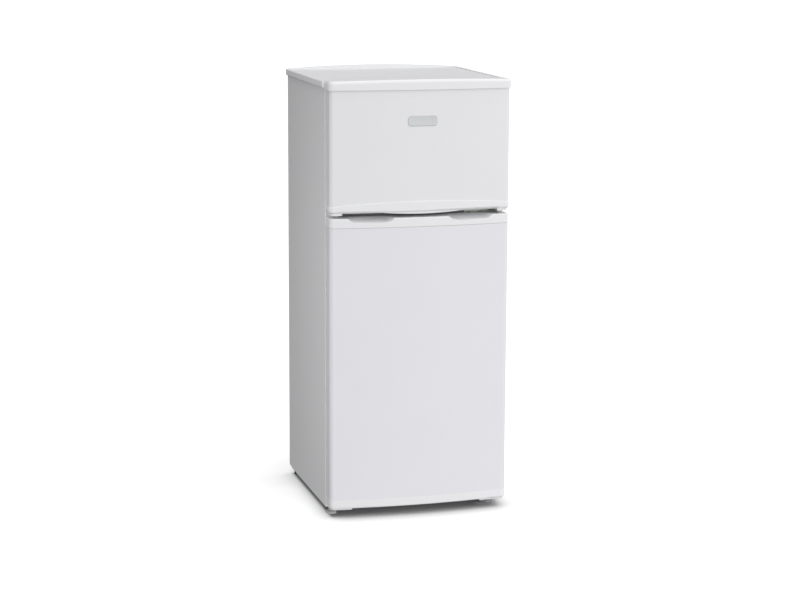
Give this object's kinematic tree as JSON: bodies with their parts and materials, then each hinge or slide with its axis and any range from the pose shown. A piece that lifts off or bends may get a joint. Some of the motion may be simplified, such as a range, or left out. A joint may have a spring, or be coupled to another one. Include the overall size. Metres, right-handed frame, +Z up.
{
  "type": "top freezer refrigerator",
  "caption": "Free-standing two-door refrigerator with a small freezer above, bowed doors hinged on the right, moulded worktop, shelves, crisper and a rear condenser.",
  "frame": {"origin": "on the floor under the middle of the whole object's box", "axes": "+Z up, doors face -Y, hinges on the +X side"},
  "size_m": [0.516, 0.5516, 1.1964],
  "materials": {
    "white_steel": "white baked enamel, fine satin gloss",
    "rail_steel": "white enamel, satin",
    "zinc_steel": "zinc-coated sheet, dull",
    "pu_foam": "hidden expanded foam",
    "liner_plastic": "white vacuum-formed sheet, soft gloss",
    "evaporator_aluminium": "hidden, mill finish",
    "cap_plastic": "white moulding, satin",
    "worktop_plastic": "white moulding, fine satin",
    "black_steel": "black paint, satin",
    "mount_rubber": "matte",
    "gasket_vinyl": "soft matte",
    "bolt_steel": "zinc plated",
    "hinge_steel": "zinc plated, dull",
    "black_plastic": "matte moulding",
    "copper": "drawn copper, slightly dulled",
    "foot_plastic": "grey moulding",
    "bush_plastic": "natural nylon",
    "shelf_glass": "toughened, polished edges",
    "bulb_glass": "clear",
    "clear_plastic": "clear polystyrene",
    "lamp_plastic": "frosted clear moulding",
    "trim_plastic": "white moulding, soft gloss",
    "knob_plastic": "pale grey moulding",
    "rack_wire": "white plastic coat over steel wire"
  },
  "bodies": {
    "cabinet": {"cabinet_shell": "white_steel", "back_panel": "zinc_steel", "bay_panel": "zinc_steel", "insulation_foam": "pu_foam", "freezer_liner": "liner_plastic", "fridge_liner": "liner_plastic", "freezer_evaporator": "evaporator_aluminium", "fridge_evaporator": "evaporator_aluminium", "centre_rail": "rail_steel", "base_rail": "zinc_steel", "base_plate": "zinc_steel", "worktop": "worktop_plastic", "compressor": "black_steel", "compressor_mounts": "mount_rubber", "compressor_bolts": "bolt_steel", "relay_box": "black_plastic", "condenser_tube": "black_steel", "condenser_wires": "black_steel", "condenser_clips": "black_plastic", "drip_tray": "black_plastic", "drain_spout": "black_plastic", "filter_drier": "copper", "refrigerant_pipes": "copper", "top_hinge": "hinge_steel", "middle_hinge": "hinge_steel", "lower_hinge": "hinge_steel", "hinge_screws": "bolt_steel", "rear_feet": "black_plastic", "thermostat_housing": "trim_plastic", "lamp_bulb": "bulb_glass", "lamp_cover": "lamp_plastic", "shelf_glass_upper": "shelf_glass", "shelf_glass_lower": "shelf_glass", "crisper_cover_glass": "shelf_glass", "shelf_trims": "trim_plastic", "freezer_rack": "rack_wire"},
    "freezer_door": {"freezer_door_skin": "white_steel", "freezer_door_top_cap": "cap_plastic", "freezer_door_bottom_cap": "cap_plastic", "freezer_door_foam": "pu_foam", "freezer_door_liner": "liner_plastic", "freezer_door_gasket": "gasket_vinyl", "freezer_door_bushes": "bush_plastic", "freezer_door_bar": "trim_plastic"},
    "fridge_door": {"fridge_door_skin": "white_steel", "fridge_door_top_cap": "cap_plastic", "fridge_door_bottom_cap": "cap_plastic", "fridge_door_foam": "pu_foam", "fridge_door_liner": "liner_plastic", "fridge_door_gasket": "gasket_vinyl", "fridge_door_bushes": "bush_plastic"},
    "balcony_upper": {"balcony_upper": "clear_plastic"},
    "balcony_middle": {"balcony_middle": "clear_plastic"},
    "bottle_balcony": {"bottle_balcony": "clear_plastic"},
    "crisper": {"crisper_drawer": "clear_plastic"},
    "thermostat_knob": {"thermostat_knob": "knob_plastic"},
    "door_switch": {"door_switch_button": "knob_plastic"},
    "front_foot_left": {"front_foot_left": "foot_plastic"},
    "front_foot_right": {"front_foot_right": "foot_plastic"}
  },
  "joints": [
    {"name": "freezer_door_hinge", "type": "hinge", "parent": "cabinet", "child": "freezer_door", "pos_m": [0.23, -0.22928, 1], "axis": [0, 0, 1], "range_deg": [0, 110]},
    {"name": "fridge_door_hinge", "type": "hinge", "parent": "cabinet", "child": "fridge_door", "pos_m": [0.23, -0.22928, 0.42], "axis": [0, 0, 1], "range_deg": [0, 110]},
    {"name": "crisper_slide", "type": "slide", "parent": "cabinet", "child": "crisper", "axis": [0, -1, 0], "range_m": [0, 0.02]},
    {"name": "thermostat_turn", "type": "hinge", "parent": "cabinet", "child": "thermostat_knob", "pos_m": [0.164, -0.12028, 0.742], "axis": [-1, 0, 0], "range_deg": [0, 270]},
    {"name": "door_switch_press", "type": "slide", "parent": "cabinet", "child": "door_switch", "axis": [0, -1, 0], "range_m": [0, 0.006]},
    {"name": "left_foot_screw", "type": "hinge", "parent": "cabinet", "child": "front_foot_left", "pos_m": [-0.232, -0.18827, 0.01], "axis": [0, 0, 1], "continuous": true},
    {"name": "right_foot_screw", "type": "hinge", "parent": "cabinet", "child": "front_foot_right", "pos_m": [0.216, -0.18827, 0.01], "axis": [0, 0, 1], "continuous": true},
    {"name": "upper_balcony_lift", "type": "slide", "parent": "fridge_door", "child": "balcony_upper", "axis": [0, 0, 1], "range_m": [0, 0.024]},
    {"name": "middle_balcony_lift", "type": "slide", "parent": "fridge_door", "child": "balcony_middle", "axis": [0, 0, 1], "range_m": [0, 0.024]},
    {"name": "bottle_balcony_lift", "type": "slide", "parent": "fridge_door", "child": "bottle_balcony", "axis": [0, 0, 1], "range_m": [0, 0.024]}
  ],
  "couplings": [
    {"joint": "door_switch_press", "follows": "fridge_door_hinge", "m_per_rad": 0.003}
  ]
}
